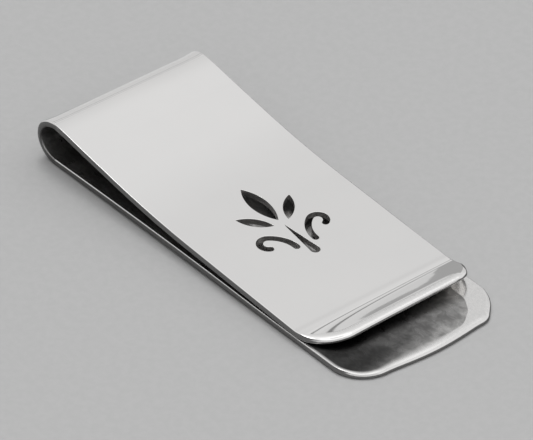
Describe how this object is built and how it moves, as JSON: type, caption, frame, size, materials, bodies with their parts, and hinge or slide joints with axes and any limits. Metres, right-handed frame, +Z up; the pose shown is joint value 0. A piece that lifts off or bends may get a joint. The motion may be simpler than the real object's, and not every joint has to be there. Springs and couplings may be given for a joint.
{
  "type": "money clip",
  "caption": "Folded money clip bent from one polished silver strip: long back leaf, sprung front leaf with a turned-up lip and a pierced sprig ornament.",
  "frame": {"origin": "under the middle of the clip's outline, on the plane that it rests on", "axes": "+X runs along the clip from the bow to the tips, +Y across the strip, +Z up out of the front leaf"},
  "size_m": [0.065, 0.025, 0.0066],
  "materials": {
    "polished_silver": "mirror-polished sterling silver with softened edges"
  },
  "bodies": {
    "back_leaf": {"back_leaf": "polished_silver"},
    "bow_segment_1": {"bow_segment_1": "polished_silver"},
    "bow_segment_2": {"bow_segment_2": "polished_silver"},
    "bow_segment_3": {"bow_segment_3": "polished_silver"},
    "bow_segment_4": {"bow_segment_4": "polished_silver"},
    "bow_segment_5": {"bow_segment_5": "polished_silver"},
    "bow_segment_6": {"bow_segment_6": "polished_silver"},
    "front_leaf": {"front_leaf": "polished_silver"}
  },
  "joints": [
    {"name": "front_leaf_opening", "type": "hinge", "parent": "back_leaf", "child": "front_leaf", "pos_m": [-0.0292, 0, 0.0033], "axis": [0, -1, 0], "range_deg": [0, 8], "stiffness_Nm_per_rad": 2.7},
    {"name": "bow_segment_1_flex", "type": "hinge", "parent": "back_leaf", "child": "bow_segment_1", "pos_m": [-0.0292, 0, 0.0033], "axis": [0, -1, 0], "range_deg": [0, 1.14]},
    {"name": "bow_segment_2_flex", "type": "hinge", "parent": "back_leaf", "child": "bow_segment_2", "pos_m": [-0.0292, 0, 0.0033], "axis": [0, -1, 0], "range_deg": [0, 2.29]},
    {"name": "bow_segment_3_flex", "type": "hinge", "parent": "back_leaf", "child": "bow_segment_3", "pos_m": [-0.0292, 0, 0.0033], "axis": [0, -1, 0], "range_deg": [0, 3.43]},
    {"name": "bow_segment_4_flex", "type": "hinge", "parent": "back_leaf", "child": "bow_segment_4", "pos_m": [-0.0292, 0, 0.0033], "axis": [0, -1, 0], "range_deg": [0, 4.57]},
    {"name": "bow_segment_5_flex", "type": "hinge", "parent": "back_leaf", "child": "bow_segment_5", "pos_m": [-0.0292, 0, 0.0033], "axis": [0, -1, 0], "range_deg": [0, 5.71]},
    {"name": "bow_segment_6_flex", "type": "hinge", "parent": "back_leaf", "child": "bow_segment_6", "pos_m": [-0.0292, 0, 0.0033], "axis": [0, -1, 0], "range_deg": [0, 6.86]}
  ],
  "couplings": [
    {"joint": "bow_segment_1_flex", "follows": "front_leaf_opening", "ratio": 0.14286},
    {"joint": "bow_segment_2_flex", "follows": "front_leaf_opening", "ratio": 0.28571},
    {"joint": "bow_segment_3_flex", "follows": "front_leaf_opening", "ratio": 0.42857},
    {"joint": "bow_segment_4_flex", "follows": "front_leaf_opening", "ratio": 0.57143},
    {"joint": "bow_segment_5_flex", "follows": "front_leaf_opening", "ratio": 0.71429},
    {"joint": "bow_segment_6_flex", "follows": "front_leaf_opening", "ratio": 0.85714}
  ]
}
